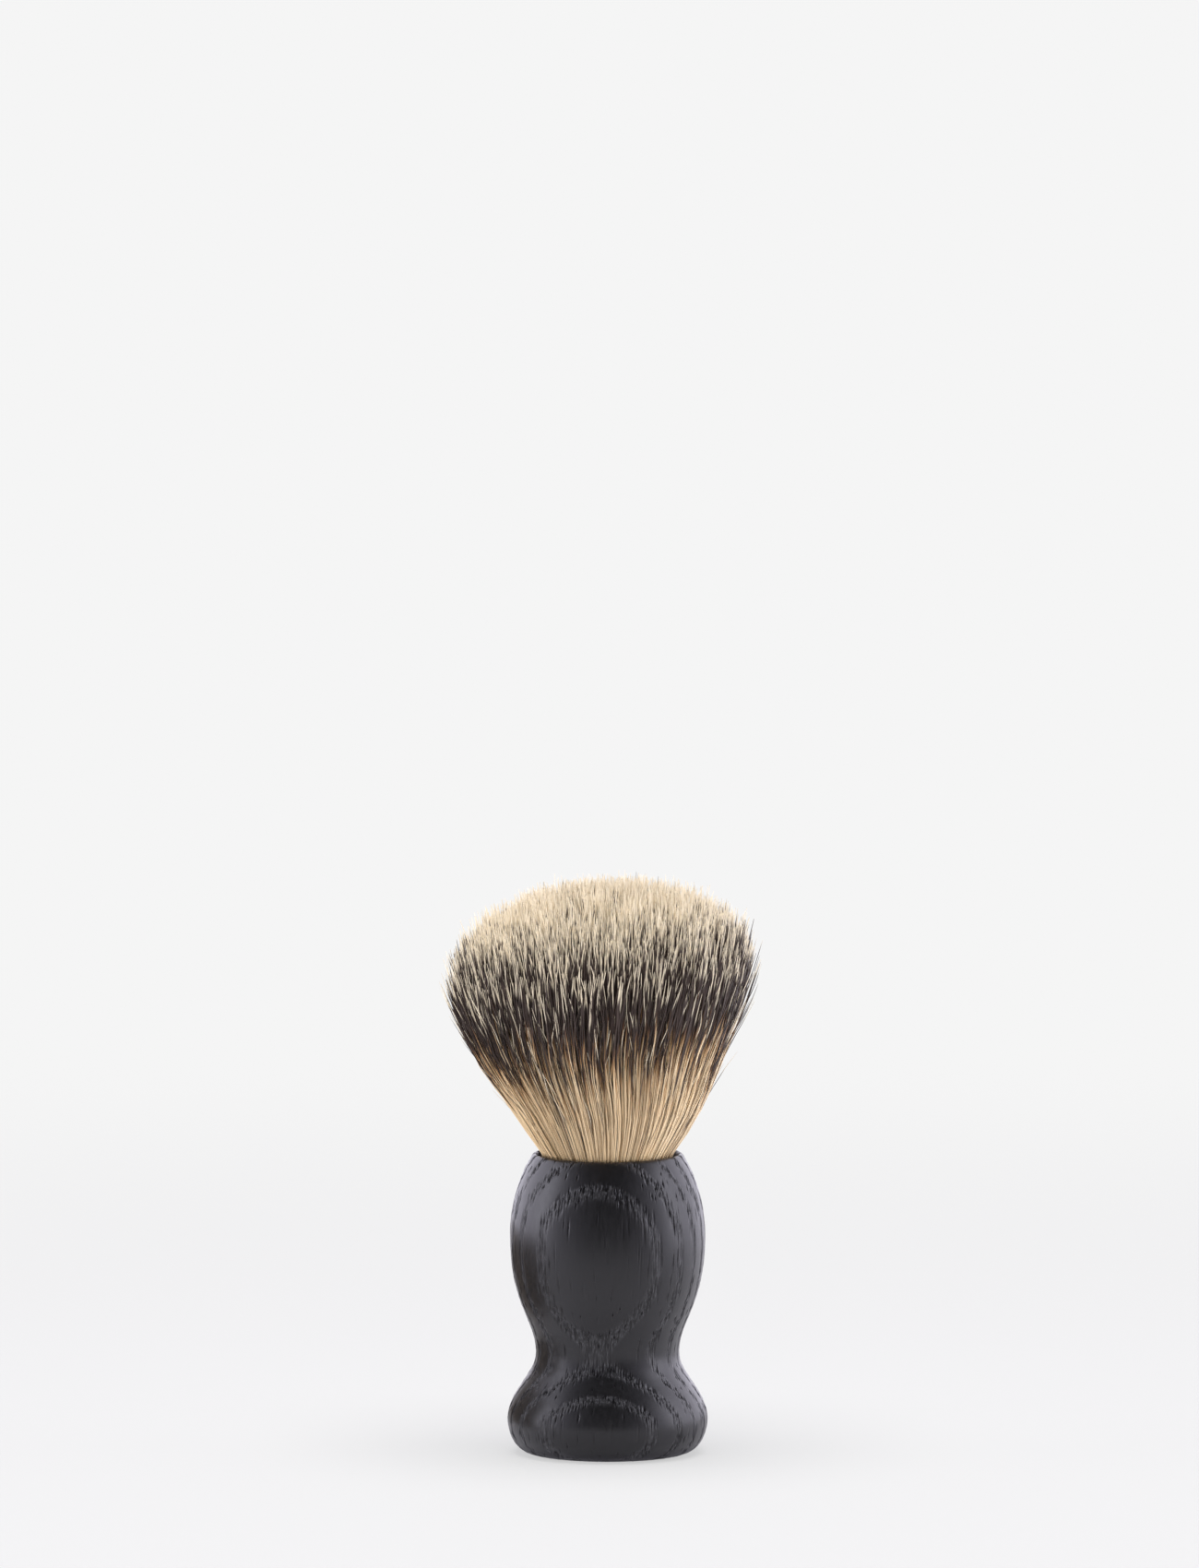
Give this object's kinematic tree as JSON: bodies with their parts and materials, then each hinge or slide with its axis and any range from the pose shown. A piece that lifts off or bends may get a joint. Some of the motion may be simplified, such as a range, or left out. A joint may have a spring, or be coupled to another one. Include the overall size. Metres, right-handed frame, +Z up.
{
  "type": "shaving brush",
  "caption": "Shaving brush with a turned waisted wooden handle and a domed knot of banded synthetic filaments that bends on sprung hinges and stands on its flat foot.",
  "frame": {"origin": "centre of the handle's flat foot, which is also the bottom centre of the bounding box", "axes": "+Z up along the brush from foot to bristle tips, +X to the right and -Y to the front, where the grain's oval faces"},
  "size_m": [0.0534, 0.0534, 0.1003],
  "materials": {
    "stained_ash": "satin, open pores",
    "epoxy": "gloss",
    "cast_resin": "satin",
    "thread": "waxed",
    "filament_root": "satin fibres",
    "filament_band": "satin fibres",
    "filament_tip": "satin fibres"
  },
  "bodies": {
    "grip": {"handle": "stained_ash", "adhesive_bed": "epoxy", "resin_plug": "cast_resin", "binding_cord": "thread", "bristle_root": "filament_root"},
    "backbone": {"bristle_backbone": "filament_band"},
    "crown": {"bristle_crown": "filament_tip"}
  },
  "joints": [
    {"name": "bristle_sweep", "type": "hinge", "parent": "grip", "child": "backbone", "pos_m": [0, 0, 0.05], "axis": [0, 1, 0], "range_deg": [-25, 25], "stiffness_Nm_per_rad": 0.15},
    {"name": "bristle_nod", "type": "hinge", "parent": "backbone", "child": "crown", "pos_m": [0, 0, 0.066], "axis": [1, 0, 0], "range_deg": [-18, 18], "stiffness_Nm_per_rad": 0.06}
  ]
}
